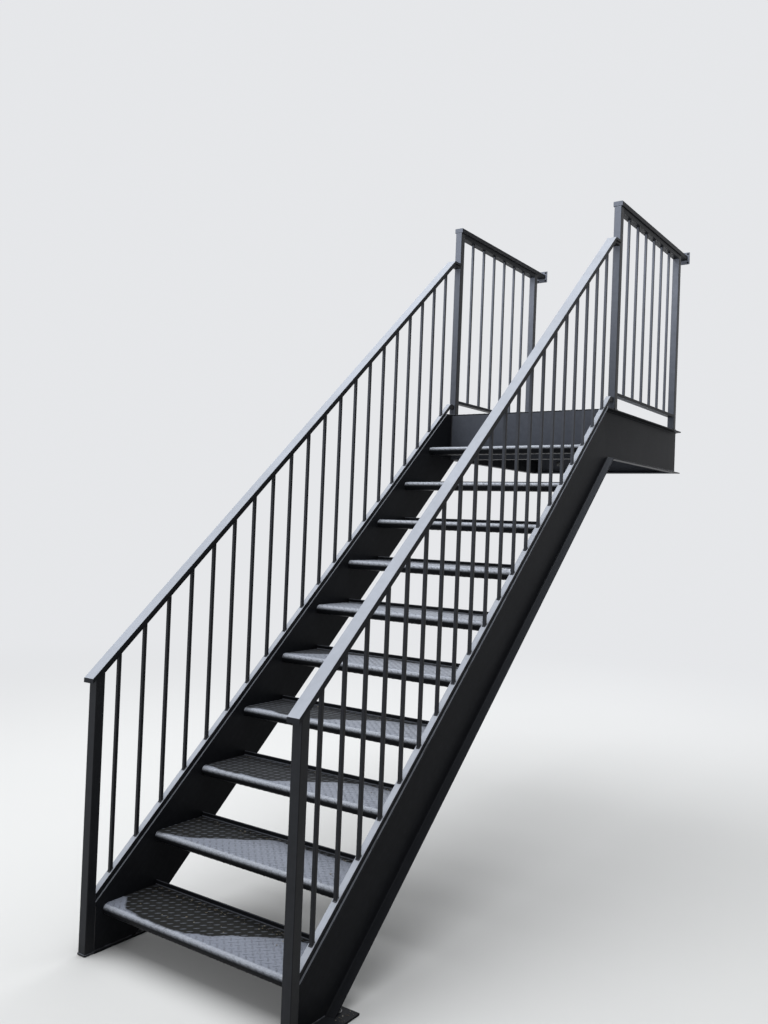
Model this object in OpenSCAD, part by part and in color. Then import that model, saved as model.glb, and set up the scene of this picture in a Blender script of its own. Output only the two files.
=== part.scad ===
// Exterior steel stair: a straight flight with a small landing fastened to a wall.
// All sizes in millimetres. +Z is up, +Y runs up the flight towards the wall.
// The origin is the middle of the wall ledger's back face.

/* [Flight] */
// Number of treads below the landing
tread_count = 10; // [5:1:13]
// Height from one tread to the next
rise = 203; // [185:1:215]
// Level distance from nose to nose
run = 230; // [215:1:250]
// Height of the lowest tread over the ground
first_rise = 165; // [150:1:200]
// Clear width between the two stringers
clear_width = 900; // [700:10:1200]
// Distance from the newel's front face to the lowest nose
newel_reach = 71; // [65:1:85]

/* [Landing] */
// Depth of the landing from its header to the wall
landing_depth = 1134; // [900:10:1500]
// Thickness of the landing's checker plate
deck_t = 6; // [5:1:8]
// Leg of the angles that carry the deck along both sides
bearer_leg = 38; // [30:1:50]
// Thickness of the flat joist under the middle of the deck
joist_t = 8; // [6:1:12]
// Depth of the flat joist
joist_depth = 90; // [70:5:120]

/* [Channels] */
// Depth of the stringer channel
channel_depth = 254; // [230:1:300]
// Width of its flanges
channel_flange = 38; // [36:1:60]
// Thickness of its web
channel_web = 5; // [4:0.5:8]
// Thickness of a flange at its toe
flange_toe = 6; // [5:0.5:8]
// Thickness of a flange where it meets the web
flange_root = 9.5; // [8:0.5:12]
// Radius between flange and web
root_radius = 6; // [4:1:8]
// Height of the stringer's top edge over the line of the noses, measured plumb
nose_cover = 44; // [35:1:60]

/* [Treads] */
// Thickness of the tread plate
tread_t = 5; // [4:0.5:6]
// Outer radius of the rolled nose
nose_radius = 21; // [16:1:25]
// Length of the flat return under the nose
nose_return = 24; // [12:1:30]
// Depth of a tread from its nose to its back lip
tread_depth = 250; // [240:1:260]
// Height of the back lip over the tread
lip_height = 18; // [12:1:24]
// Leg of the angle that carries a tread's end
tread_angle_leg = 38; // [30:1:44]
// Thickness of that angle and of the deck's bearers
angle_t = 5; // [4:0.5:6]
// Distance from the nose to the angle's front end
tread_angle_start = 62; // [56:1:80]
// Length of the angle
tread_angle_len = 150; // [120:1:155]

/* [Posts and rails] */
// Side of the square newels and landing posts
post = 38; // [32:1:44]
// Width of the handrail's flat cap and of the landing's cap rail
rail_w = 50; // [44:1:54]
// Thickness of the handrail's cap, square to its length
rail_t = 12.7; // [10:0.1:16]
// Thickness of the bar under that cap, square to its length
under_rail_t = 13; // [10:1:20]
// Height of the handrail's top over the line of the noses, measured plumb
handrail_height = 893; // [850:1:950]
// Overhang of the handrail in front of the newel
rail_overhang = 20; // [10:1:40]
// Length of the handrail's level return to the landing post
rail_return = 67; // [40:1:80]
// Thickness of the bottom rail on the stringer, square to its length
bottom_rail_t = 19; // [12:1:22]
// Length of the bottom rail's level return to the landing post
bottom_return = 42; // [30:1:50]
// Height of the landing's cap rail over the deck
guard_height = 1067; // [1000:1:1100]
// Thickness of the landing's cap rail
cap_t = 25; // [20:1:30]
// Thickness of the bar under the cap rail
subrail_t = 25; // [16:1:30]
// Height of the landing's bottom rail over the deck
guard_gap = 71; // [50:1:95]
// Thickness of the landing's bottom rail
guard_rail_t = 16; // [12:1:20]
// Rounding of the rails' top edges
rail_edge = 2.5; // [2:0.5:6]
// Distance from the header's face to the front landing post
post_setback = 31; // [25:1:40]
// Distance from the rear landing post to the wall
post_to_wall = 110; // [60:1:150]

/* [Balusters] */
// Side of the square balusters
baluster = 12.7; // [12:0.1:16]
// Distance from baluster to baluster on the flight
baluster_pitch = 114; // [100:1:125]
// Distance from the newel's front face to the first baluster's middle
first_baluster = 112; // [90:1:125]
// Number of balusters on each side of the landing
guard_balusters = 6; // [5:1:9]

/* [Fixings] */
// Thickness of a base plate
base_t = 8; // [6:1:12]
// Width of a base plate
base_w = 84; // [80:1:100]
// Length of a base plate behind its newel
base_len = 257; // [250:1:300]
// Diameter of the anchor hole in a base plate
anchor_d = 16; // [12:1:20]
// Distance from a base plate's back edge to its anchor hole
anchor_edge = 34; // [24:1:40]
// Diameter of the ledger's bolt holes
ledger_hole_d = 18; // [14:1:22]
// Distance between the ledger's bolt holes along the wall
ledger_hole_x = 600; // [400:10:640]
// Distance between the ledger's bolt holes up the wall
ledger_hole_z = 120; // [90:5:140]
// Thickness of the small plates that fasten the cap rails to the wall
rail_plate_t = 6; // [5:1:8]
// Height and width of those plates
rail_plate = 72; // [66:1:90]

/* [Hidden] */
$fn = 48;

// The slope of the flight
slope = atan(rise / run);
grade = rise / run;

// Levels
ledger_depth = channel_depth - deck_t;
deck_top = ledger_depth / 2 + deck_t;
ground_z = deck_top - first_rise - tread_count * rise;
base_top = ground_z + base_t;

// Places along the flight
landing_y = -landing_depth;
first_nose_y = landing_y - tread_count * run;
newel_y = first_nose_y - newel_reach;
newel_back = newel_y + post;
front_post_y = landing_y + post_setback;
rear_post_y = -post_to_wall - post;

// Places across the flight
web_x = clear_width / 2;
rail_x = web_x + channel_flange / 2;

// Heights that follow the slope at a place along the flight
function nose_z(y) = ground_z + first_rise + (y - first_nose_y) * grade;
function stringer_z(y) = nose_z(y) + nose_cover;
function bottom_rail_z(y) = stringer_z(y) + bottom_rail_t / cos(slope);
function handrail_z(y) = nose_z(y) + handrail_height;
function handrail_middle_z(y) = handrail_z(y) - rail_t / 2 / cos(slope);
function handrail_under_z(y) = handrail_z(y) - rail_t / cos(slope);
function under_rail_z(y) = handrail_z(y) - (rail_t + under_rail_t) / cos(slope);

// The kink where the stringer's top edge meets the landing channel's
kink_y = first_nose_y + (deck_top - nose_cover - first_rise - ground_z) / grade;

// The level returns at the top of the flight
rail_turn_y = front_post_y - rail_return;
bottom_turn_y = front_post_y - bottom_return;

// The landing guard
cap_under = deck_top + guard_height - cap_t;
guard_bottom_top = deck_top + guard_gap + guard_rail_t;
guard_clear = rear_post_y - front_post_y - post;

baluster_count = floor((rail_turn_y - baluster - newel_y - first_baluster) / baluster_pitch) + 1;

// Longer than any piece, for the cutting blocks
reach = (tread_count + 2) * (run + rise) + landing_depth;

// How far a channel's fillet cuts past the point where it would only touch, so that it cuts cleanly
fillet_bite = 0.01;

black_paint = [0.07, 0.07, 0.08];
tread_paint = [0.11, 0.11, 0.12];

function tread_name(i) = str("tread_", i < 10 ? "0" : "", i);

// Runs a cross-section from a point up a slope: its x points to -X, its y square to the run
module along(y, z, angle, len) {
  translate([0, y, z])
    rotate([angle, 0, 0])
      rotate([90, 0, 180])
        linear_extrude(len)
          children();
}

// Extrudes an outline drawn in Y and Z to both sides of x
module across(x, width) {
  translate([x - width / 2, 0, 0])
    rotate([90, 0, 90])
      linear_extrude(width)
        children();
}

// A channel section with its back on the y axis, its toes to +x and its top at y = 0.
// Its flanges thin towards their toes and meet the web in a fillet.
module channel_section(depth) {
  taper = (flange_root - flange_toe) / (channel_flange - channel_web);
  lean = atan(taper);
  fillet_y = flange_root - taper * root_radius + root_radius / cos(lean);
  fillet_mid = [channel_web + root_radius, fillet_y];
  fillet_end = fillet_mid - root_radius * [sin(lean), cos(lean)];
  half = [
    [channel_flange, 0], [channel_flange, flange_toe], fillet_end, [channel_web, fillet_y]
  ];
  upper = [for (p = half) [p[0], -p[1]]];
  lower = [for (i = [len(half) - 1:-1:0]) [half[i][0], half[i][1] - depth]];
  difference() {
    polygon(concat([[0, 0]], upper, lower, [[0, -depth]]));
    translate([fillet_mid[0], -fillet_y]) circle(root_radius + fillet_bite);
    translate([fillet_mid[0], fillet_y - depth]) circle(root_radius + fillet_bite);
  }
}

// Rail section with rounded top edges, its top at y = 0
module rail_section(width, depth) {
  for (side = [-1, 1])
    translate([side * (width / 2 - rail_edge), -rail_edge]) circle(rail_edge);
  translate([-width / 2 + rail_edge, -depth]) square([width - 2 * rail_edge, depth]);
  translate([-width / 2, -depth]) square([width, depth - rail_edge]);
}

// Everything on the landing's side of the mitre between stringer and landing channel
module landing_side_of_mitre() {
  translate([0, kink_y, deck_top])
    rotate([slope / 2, 0, 0])
      translate([-reach / 2, 0, -reach / 2])
        cube(reach);
}

// Everything on the flight's side of the mitre
module flight_side_of_mitre() {
  translate([0, kink_y, deck_top])
    rotate([slope / 2, 0, 0])
      translate([-reach / 2, -reach, -reach / 2])
        cube(reach);
}

// Sloping channel: cut plumb at the newel, level on its base plate, mitred at the landing
module stringer() {
  start_y = newel_y - channel_depth;
  flight_len = (kink_y + channel_depth - start_y) / cos(slope);
  color(black_paint)
    difference() {
      translate([-web_x, 0, 0])
        along(start_y, stringer_z(start_y), slope, flight_len)
          channel_section(channel_depth);
      translate([-reach / 2, newel_back - reach, ground_z - reach / 2]) cube(reach);
      translate([-reach / 2, newel_y - reach / 2, base_top - reach]) cube(reach);
      landing_side_of_mitre();
    }
}

// Level channel under the landing's side
module landing_channel() {
  color(black_paint)
    difference() {
      translate([-web_x, 0, 0])
        along(kink_y, deck_top, 0, -kink_y)
          channel_section(channel_depth);
      flight_side_of_mitre();
    }
}

// Upright bar whose lower and upper ends follow the slope between two rails
module sloped_picket(y, side, low, high) {
  half = side / 2;
  across(-rail_x, side)
    polygon([
      [y - half, low[0]], [y + half, low[1]],
      [y + half, high[1]], [y - half, high[0]]
    ]);
}

// Newel: on the ground, with its top cut to the handrail's underside
module newel() {
  color(black_paint)
    sloped_picket(
      newel_y + post / 2, post,
      [ground_z, ground_z],
      [handrail_under_z(newel_y), handrail_under_z(newel_back)]
    );
}

// Balusters of one side of the flight
module balusters() {
  half = baluster / 2;
  color(black_paint)
    for (i = [0:baluster_count - 1]) {
      y = newel_y + first_baluster + i * baluster_pitch;
      sloped_picket(
        y, baluster,
        [bottom_rail_z(y - half), bottom_rail_z(y + half)],
        [under_rail_z(y - half), under_rail_z(y + half)]
      );
    }
}

// Bar under the handrail's cap, from the newel's back to the landing post, let into the cap
module handrail_bar() {
  turn_z = handrail_z(rail_turn_y);
  bar_depth = rail_t + under_rail_t;
  under_turn_y = rail_turn_y + bar_depth * tan(slope / 2);
  across(0, post)
    polygon([
      [newel_back, handrail_middle_z(newel_back)],
      [rail_turn_y, handrail_middle_z(rail_turn_y)],
      [front_post_y, turn_z - rail_t / 2],
      [front_post_y, turn_z - bar_depth],
      [under_turn_y, turn_z - bar_depth],
      [newel_back, under_rail_z(newel_back)]
    ]);
}

// Handrail: a flat cap on a bar, cut plumb at its foot, with a level return to the landing post
module handrail() {
  front_y = newel_y - rail_overhang;
  start_y = front_y - rail_w;
  color(black_paint)
    translate([-rail_x, 0, 0]) {
      intersection() {
        along(start_y, handrail_z(start_y), slope, (rail_turn_y + rail_w - start_y) / cos(slope))
          rail_section(rail_w, rail_t);
        translate([-rail_w, front_y, ground_z]) cube([2 * rail_w, rail_turn_y - front_y, reach]);
      }
      translate([-rail_w / 2, rail_turn_y, handrail_z(rail_turn_y) - rail_t])
        cube([rail_w, rail_return, rail_t]);
      handrail_bar();
    }
}

// Bottom rail: a bar lying on the stringer's flange, with a level return to the post
module bottom_rail() {
  color(black_paint)
    across(-rail_x, post)
      polygon([
        [newel_back, stringer_z(newel_back)],
        [bottom_turn_y, stringer_z(bottom_turn_y)],
        [front_post_y, stringer_z(bottom_turn_y)],
        [front_post_y, bottom_rail_z(bottom_turn_y)],
        [bottom_turn_y, bottom_rail_z(bottom_turn_y)],
        [newel_back, bottom_rail_z(newel_back)]
      ]);
}

// Outline of a tread pan: rolled nose with a return, flat plate, upturned back lip
module tread_outline(depth) {
  difference() {
    circle(nose_radius);
    circle(nose_radius - tread_t);
    translate([0, -2 * nose_radius]) square([2 * nose_radius, 4 * nose_radius]);
  }
  translate([0, -nose_radius]) square([nose_return, tread_t]);
  translate([0, nose_radius - tread_t]) square([depth - nose_radius - tread_t, tread_t]);
  lip_x = depth - nose_radius - 2 * tread_t;
  difference() {
    translate([lip_x, nose_radius + tread_t]) circle(2 * tread_t);
    translate([lip_x, nose_radius + tread_t]) circle(tread_t);
    translate([lip_x - 4 * tread_t, nose_radius - 2 * tread_t])
      square([4 * tread_t, 6 * tread_t]);
    translate([lip_x, nose_radius + tread_t]) square(4 * tread_t);
  }
  translate([lip_x + tread_t, nose_radius + tread_t])
    square([tread_t, lip_height - 1.5 * tread_t]);
  translate([lip_x + 1.5 * tread_t, nose_radius + lip_height - tread_t / 2])
    circle(tread_t / 2);
}

// Tread i, counted from the ground; the top one stops at the landing's header
module tread(i) {
  nose_y = first_nose_y + (i - 1) * run;
  depth = i == tread_count ? min(tread_depth, run) : tread_depth;
  color(tread_paint)
    across(0, clear_width)
      translate([nose_y + nose_radius, nose_z(nose_y) - nose_radius])
        tread_outline(depth);
}

// Angle section with its heel at the origin, one leg down the web and one under a plate
module angle_section(leg) {
  difference() {
    polygon([
      [0, 0], [leg, 0], [leg, -angle_t], [2 * angle_t, -angle_t],
      [angle_t, -2 * angle_t], [angle_t, -leg], [0, -leg]
    ]);
    translate([2 * angle_t, -2 * angle_t]) circle(angle_t);
  }
}

// Angles on one stringer's web, one under each tread's end
module tread_angles() {
  color(black_paint)
    for (i = [1:tread_count]) {
      nose_y = first_nose_y + (i - 1) * run;
      translate([web_x, 0, 0])
        along(nose_y + tread_angle_start, nose_z(nose_y) - tread_t, 0, tread_angle_len)
          angle_section(tread_angle_leg);
    }
}

// Checker plate of the landing
module landing_deck() {
  color(tread_paint)
    translate([-web_x, landing_y, deck_top - deck_t])
      cube([clear_width, landing_depth, deck_t]);
}

// Channel across the front of the landing, back to the flight
module landing_header() {
  color(black_paint)
    across(0, clear_width)
      translate([landing_y, deck_top - deck_t])
        channel_section(ledger_depth);
}

// Channel across the wall, with its back on the wall and four bolt holes
module wall_ledger() {
  color(black_paint)
    difference() {
      across(0, clear_width)
        mirror([1, 0])
          translate([0, deck_top - deck_t])
            channel_section(ledger_depth);
      for (x = [-1, 1], z = [-1, 1])
        translate([x * ledger_hole_x / 2, channel_web, z * ledger_hole_z / 2])
          rotate([90, 0, 0])
            cylinder(h = 3 * channel_web, d = ledger_hole_d);
    }
}

// Angles along both side channels, between the header's flanges and the ledger's
module deck_bearers() {
  bearer_len = landing_depth - 2 * channel_flange;
  color(black_paint)
    for (side = [0, 1])
      mirror([side, 0, 0])
        translate([web_x, 0, 0])
          along(landing_y + channel_flange, deck_top - deck_t, 0, bearer_len)
            angle_section(bearer_leg);
}

// Flat bar under the middle of the deck, notched to pass under both channels' flanges
module deck_joist() {
  under = deck_top - deck_t;
  notch = flange_root + 2 * root_radius;
  front = landing_y + channel_web;
  back = -channel_web;
  color(black_paint)
    across(0, joist_t)
      polygon([
        [front, under - notch], [front, under - joist_depth],
        [back, under - joist_depth], [back, under - notch],
        [-channel_flange, under - notch], [-channel_flange, under],
        [landing_y + channel_flange, under], [landing_y + channel_flange, under - notch]
      ]);
}

// Landing post standing on the channel's top flange, up to the cap rail
module landing_post(y) {
  color(black_paint)
    translate([-rail_x - post / 2, y, deck_top])
      cube([post, post, cap_under - deck_top]);
}

// Cap rail of the landing guard, from the front post's face to the plate on the wall
module guard_cap() {
  color(black_paint)
    translate([-rail_x, 0, 0])
      along(front_post_y, cap_under + cap_t, 0, -rail_plate_t - front_post_y)
        rail_section(rail_w, cap_t);
}

// Level bar between the two landing posts with its top at z
module guard_bar(z, bar_t) {
  color(black_paint)
    translate([-rail_x - post / 2, front_post_y + post, z - bar_t])
      cube([post, guard_clear, bar_t]);
}

// Balusters of one side of the landing, evenly between the posts
module guard_balusters() {
  step = guard_clear / (guard_balusters + 1);
  color(black_paint)
    for (i = [1:guard_balusters])
      translate([-rail_x - baluster / 2,
                 front_post_y + post + i * step - baluster / 2,
                 guard_bottom_top])
        cube([baluster, baluster, cap_under - subrail_t - guard_bottom_top]);
}

// Plates that fasten the two cap rails to the wall
module wall_rail_plates() {
  color(black_paint)
    for (side = [-1, 1])
      translate([side * rail_x - rail_plate / 2, -rail_plate_t,
                 cap_under + cap_t / 2 - rail_plate / 2])
        cube([rail_plate, rail_plate_t, rail_plate]);
}

// Base plate under a stringer's foot, with one anchor hole behind it
module base_plate() {
  color(black_paint)
    difference() {
      translate([-web_x - base_w + channel_web, newel_back, ground_z])
        cube([base_w, base_len, base_t]);
      translate([-rail_x, newel_back + base_len - anchor_edge, ground_z - base_t])
        cylinder(h = 3 * base_t, d = anchor_d);
    }
}

module right_side() {
  mirror([1, 0, 0]) children();
}

stringer();  // stringer_left
right_side() stringer();  // stringer_right
landing_channel();  // landing_channel_left
right_side() landing_channel();  // landing_channel_right
newel();  // newel_left
right_side() newel();  // newel_right
handrail();  // handrail_left
right_side() handrail();  // handrail_right
bottom_rail();  // bottom_rail_left
right_side() bottom_rail();  // bottom_rail_right
balusters();  // balusters_left
right_side() balusters();  // balusters_right
for (i = [1:tread_count])
  tread(i);
right_side() tread_angles();  // tread_angles_left
tread_angles();  // tread_angles_right
landing_deck();
landing_header();
wall_ledger();
deck_bearers();
deck_joist();
landing_post(front_post_y);  // post_front_left
right_side() landing_post(front_post_y);  // post_front_right
landing_post(rear_post_y);  // post_rear_left
right_side() landing_post(rear_post_y);  // post_rear_right
guard_cap();  // guard_cap_left
right_side() guard_cap();  // guard_cap_right
guard_bar(cap_under, subrail_t);  // guard_subrail_left
right_side() guard_bar(cap_under, subrail_t);  // guard_subrail_right
guard_bar(guard_bottom_top, guard_rail_t);  // guard_bottom_rail_left
right_side() guard_bar(guard_bottom_top, guard_rail_t);  // guard_bottom_rail_right
guard_balusters();  // guard_balusters_left
right_side() guard_balusters();  // guard_balusters_right
wall_rail_plates();
base_plate();  // base_plate_left
right_side() base_plate();  // base_plate_right
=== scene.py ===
"""Finish of an exterior steel stair: eased edges, checker-plate lugs, welds, bolts, litter and paint."""

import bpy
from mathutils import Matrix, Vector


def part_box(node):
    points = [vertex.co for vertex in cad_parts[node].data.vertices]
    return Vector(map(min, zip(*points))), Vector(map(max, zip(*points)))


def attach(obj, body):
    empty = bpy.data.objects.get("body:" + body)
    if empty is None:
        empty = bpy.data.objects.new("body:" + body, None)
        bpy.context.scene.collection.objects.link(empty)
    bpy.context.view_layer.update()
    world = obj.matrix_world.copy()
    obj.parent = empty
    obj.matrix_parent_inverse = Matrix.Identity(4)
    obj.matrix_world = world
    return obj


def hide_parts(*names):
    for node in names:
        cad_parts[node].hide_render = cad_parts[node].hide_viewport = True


bl_info = {
    "name": "Exterior Steel Stair",
    "version": (1, 0, 0),
    "blender": (4, 5, 0),
    "location": "3D View > Sidebar > Steel Stair",
    "description": "Dresses a steel stair with eased edges, raised tread lugs, welds, bolts and worn paint",
    "category": "Add Mesh",
}

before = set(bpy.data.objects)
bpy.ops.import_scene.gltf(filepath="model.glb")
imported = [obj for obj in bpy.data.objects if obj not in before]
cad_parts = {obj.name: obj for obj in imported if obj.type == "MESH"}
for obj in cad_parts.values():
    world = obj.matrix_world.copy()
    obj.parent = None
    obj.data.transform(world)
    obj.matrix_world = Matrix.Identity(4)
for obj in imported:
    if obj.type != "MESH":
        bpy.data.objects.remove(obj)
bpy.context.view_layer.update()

import math
import random

import bmesh
import bpy
from bpy.props import FloatProperty, FloatVectorProperty, IntProperty, PointerProperty
from mathutils import Matrix, Vector

SIDES = ("left", "right")


def low(node):
    """Lowest corner of a node of the frame."""
    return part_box(node)[0]


def high(node):
    """Highest corner of a node of the frame."""
    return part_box(node)[1]


def both(*names):
    """The left and right node of each name."""
    return [f"{name}_{side}" for name in names for side in SIDES]


def sign_of(side):
    """-1 on the left and 1 on the right."""
    return -1 if side == "left" else 1


TREADS = sorted(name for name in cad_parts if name.startswith("tread_") and name[-2:].isdigit())
RUN = low(TREADS[1]).y - low(TREADS[0]).y
RISE = low(TREADS[1]).z - low(TREADS[0]).z
SLOPE = math.atan2(RISE, RUN)
FIRST_NOSE = low(TREADS[0]).y
LIP_HEIGHT = 0.018
FIRST_TOP = high(TREADS[0]).z - LIP_HEIGHT
NOSE_RADIUS = (FIRST_TOP - low(TREADS[0]).z) / 2
DECK_TOP = high("landing_deck").z
GROUND = low("newel_left").z
WEB = high("landing_deck").x
RAIL_LINE = (low("post_front_right").x + high("post_front_right").x) / 2
POST = high("post_front_right").x - low("post_front_right").x
IN_PLANE = 0.0005
KINK = Vector((0, min(
    vert.co.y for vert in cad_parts["landing_channel_left"].data.vertices
    if abs(vert.co.z - DECK_TOP) < IN_PLANE), DECK_TOP))
MITRE_NORMAL = Vector((0, math.cos(SLOPE / 2), math.sin(SLOPE / 2)))

# Meshes: when points merge, faces join, edges are eased and shading is smooth
MERGE = 0.00001
JOIN_ANGLE = math.radians(0.3)
EASE_ANGLE = math.radians(35)
SMOOTH_ANGLE = math.radians(40)
FLAT_WEIGHT = 90
BOTTOM_RAIL_SHARE = 0.66

# Paint: the climb over which the painted front light and the pale tops with their painted sheen change, and
# the edge of the near-black backs on the lowest treads
CLIMB_HEIGHT = 3.3
DARK_BACK_EDGES = (0.12, -0.17, 0.04, 0.06, -0.30)
PAINT_IOR = 1.5
LEAF_IOR = 1.45
TREAD_GLOSS = 0.06
BEAD_GLOSS = 0.3
THICKER = 1.3

# Lugs: a lens, narrower at its tips, with steps to its crown as shares of its width and height
LUG_SIDES = 8
LUG_TIP = 0.62
LUG_TRIM = 0.9
CROWN_STEPS = ((0.24, 0.62), (0.20, 0.38))
LUG_LEAN = 45
LUG_SINK = 0.00005
SHEET_MARGIN = 0.001
DECK_START = (0.004, 0.009)
LIP_CORNER = 0.012
# Lugs that lean one way carry painted glints
GLINT_SET = "glinting"
NOSE_WEAR = 0.6
NOSE_CUTS = 18

# Welds: shares of the post bead's radius, and where seams and stitches run
BAR_COUNTS = {"balusters": 20, "guard_balusters": 6}
BEAD_SIDES = 7
BEAD_STEP = 0.0045
FOOT_LIFT = 1.3
HEAD_BEAD = 0.7
SEAM_BEAD = 0.6
SEAM_LIFT = 0.3
STITCH_BEAD = 0.5
WEB_THICKNESS = 0.005
FOOT_LENGTH = 0.17
SEAM_END = 0.014
HEADER_END = 0.002
STITCH_LENGTH = 0.04
STITCH_PITCH = 0.30
STITCH_START = 0.35
STITCH_STOP = 0.1

# Bolts: each slab's radius over the rod's diameter, height, number of sides and eased rim
ANCHOR_WASHER = (0.98, 0.0022, 32, 0.0004)
ANCHOR_NUT = (0.8, 0.0095, 6, 0.0007)
LEDGER_WASHER = (1.05, 0.003, 32, 0.0005)
LEDGER_HEAD = (0.86, 0.010, 6, 0.0009)
LEDGER_ROD = (0.5, 0.006, 24, 0.0004)
SCREW_HEAD = (0.75, 0.0018, 24, 0.0007)
THREAD_PITCH = 0.0018
THREAD_ROOT = 0.88
THREAD_SIDES = 20
ANCHOR_LENGTH = 0.026
ANCHOR_EDGE = 0.034
LEDGER_X = 0.300
LEDGER_Z = 0.060
SCREW_EDGE = 0.010

# Litter: each tread's share, how it heaps at the lip, grit on the base plates and a crumb's shape
LITTER_SHARE = (1.0, 0.55, 0.45, 0.4, 0.3, 0.2, 0.2, 0.15, 0.1)
LITTER_SIZES = (0.35, 1.5)
LITTER_EDGE = 0.02
HEAPED_SHARE = 0.8
HEAP_DEPTH = 0.022
LITTER_DEPTH = 0.17
LIP_GAP = 0.004
GRIT_SIZES = (0.3, 1.0)
GRIT_EDGE = 0.006
GRIT_END = 0.01
GRIT_LIFT = 0.0008
CRUMB_CURL = (-0.5, 0.7)
CRUMB_SKEW = (-0.3, 0.3)
CRUMB_WIDTH = (0.35, 0.8)
CRUMB_TILT = 0.3
CRUMB_THICKNESS = 0.0004

# Stage
FLOOR_REACH = 60.0
FADE_MIDDLE = -2.2
FADE_START = 1.2
FADE_END = 8.5
LIGHT_COLOUR = (0.93, 0.96, 1.0)
OVERHEAD_PLACE = Vector((-1.7, -2.6, 6.2))
OVERHEAD_SIZE = 9.5
BEHIND_PLACE = Vector((-2.0, 7.5, 2.6))
BEHIND_SIZE = 5.0
BEHIND_AIM = Vector((0.0, -1.7, -0.6))
CAMERA_PLACE = Vector((2.2392, -5.6511, -0.5155))
CAMERA_YAW = 0.606
CAMERA_PITCH = 0.016
CAMERA_ROLL = 0.039


class EdgeSizes(bpy.types.PropertyGroup):
    """How far the edges of each kind of steel are eased."""

    tube: FloatProperty(
        name="Tube corners", description="Corner radius of posts and newels", default=0.0028, unit="LENGTH")
    channel: FloatProperty(
        name="Channel edges", description="Easing of the rolled channels' edges",
        default=0.0014, unit="LENGTH")
    rail: FloatProperty(
        name="Rail edges", description="Easing of the rails' square edges", default=0.0012, unit="LENGTH")
    baluster: FloatProperty(
        name="Baluster edges", description="Easing of the square balusters' edges",
        default=0.001, unit="LENGTH")
    plate: FloatProperty(
        name="Plate edges", description="Easing of cut plates and angles", default=0.0008, unit="LENGTH")


class LugSizes(bpy.types.PropertyGroup):
    """The raised pattern of the checker plate."""

    pitch: FloatProperty(
        name="Pitch", description="Distance between lugs that lean the same way",
        default=0.032, unit="LENGTH")
    length: FloatProperty(name="Length", description="Length of a lug", default=0.025, unit="LENGTH")
    width: FloatProperty(name="Width", description="Width of a lug", default=0.0078, unit="LENGTH")
    height: FloatProperty(
        name="Height", description="Height of a lug over the plate", default=0.0011, unit="LENGTH")


class WeldSizes(bpy.types.PropertyGroup):
    """The beads that join the bars."""

    post_bead: FloatProperty(
        name="Post bead", description="Radius of the beads round posts and newels",
        default=0.0035, unit="LENGTH")
    baluster_bead: FloatProperty(
        name="Baluster bead", description="Radius of the beads at the balusters' ends",
        default=0.0022, unit="LENGTH")
    ripple: FloatProperty(
        name="Ripple", description="How much a bead swells and shrinks along its run",
        default=0.16, subtype="FACTOR", min=0, max=0.5)


class BoltSizes(bpy.types.PropertyGroup):
    """Anchors, ledger bolts and the small screws at the wall."""

    anchor: FloatProperty(
        name="Anchor", description="Diameter of the anchors' threaded rod", default=0.0125, unit="LENGTH")
    ledger: FloatProperty(
        name="Ledger bolt", description="Diameter of the ledger bolts", default=0.016, unit="LENGTH")
    screw: FloatProperty(
        name="Rail screw", description="Diameter of the screws in the rail plates",
        default=0.008, unit="LENGTH")


class LitterSizes(bpy.types.PropertyGroup):
    """What the wind leaves behind the treads' lips."""

    crumbs: IntProperty(
        name="Crumbs", description="Number of crumbs on the lowest tread", default=110, min=0, max=400)
    size: FloatProperty(
        name="Crumb size", description="Length of a middling crumb", default=0.006, unit="LENGTH")


class PaintColours(bpy.types.PropertyGroup):
    """Colours of the paint, of what lies on it and of the light painted on it."""

    black: FloatVectorProperty(
        name="Black paint", description="Satin black of the frame",
        default=(0.0085, 0.009, 0.0105), subtype="COLOR", min=0, max=1)
    # Pale layer on faces that look up: part dusty coat, part painted sheen of the sky
    film_and_sheen: FloatVectorProperty(
        name="Film", description="Pale film on the tops of the rails",
        default=(0.43, 0.45, 0.495), subtype="COLOR", min=0, max=1)
    # Grey for the dusty treads and bead tops, and for the painted front light on forward faces, paler
    # higher up
    dust_and_front_light: FloatVectorProperty(
        name="Dust", description="Grey dust on the lowest treads and on the posts' weather side",
        default=(0.215, 0.23, 0.27), subtype="COLOR", min=0, max=1)
    # Near-black for the splashes at the foot and for the backs of the lowest treads
    near_black: FloatVectorProperty(
        name="Silt", description="Olive silt on the treads",
        default=(0.0135, 0.0135, 0.0125), subtype="COLOR", min=0, max=1)
    rust: FloatVectorProperty(
        name="Rust", description="Rust where the paint is thin at the foot",
        default=(0.085, 0.034, 0.014), subtype="COLOR", min=0, max=1)
    leaf: FloatVectorProperty(
        name="Leaf", description="Dry leaf crumbs",
        default=(0.15, 0.125, 0.085), subtype="COLOR", min=0, max=1)
    zinc: FloatVectorProperty(
        name="Zinc", description="Dull zinc of the anchors",
        default=(0.13, 0.132, 0.135), subtype="COLOR", min=0, max=1)


class StageSettings(bpy.types.PropertyGroup):
    """Floor, backdrop, light and camera."""

    floor: FloatVectorProperty(
        name="Floor", description="Colour of the plain floor",
        default=(0.60, 0.59, 0.57), subtype="COLOR", min=0, max=1)
    backdrop: FloatVectorProperty(
        name="Backdrop", description="Colour seen behind the stair",
        default=(0.79, 0.80, 0.82), subtype="COLOR", min=0, max=1)
    sky_strength: FloatProperty(
        name="Room light", description="Strength of the light from all round", default=0.42, min=0, max=2)
    overhead_power: FloatProperty(
        name="Overhead power", description="Power of the wide soft light overhead",
        default=1050, min=0, subtype="POWER", unit="POWER")
    behind_power: FloatProperty(
        name="Power from behind", description="Power of the weak soft light behind the landing",
        default=380, min=0, subtype="POWER", unit="POWER")
    focal_length: FloatProperty(
        name="Focal length", description="Focal length for a sensor 36 mm high",
        default=32.8, min=1, unit="CAMERA")


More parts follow.
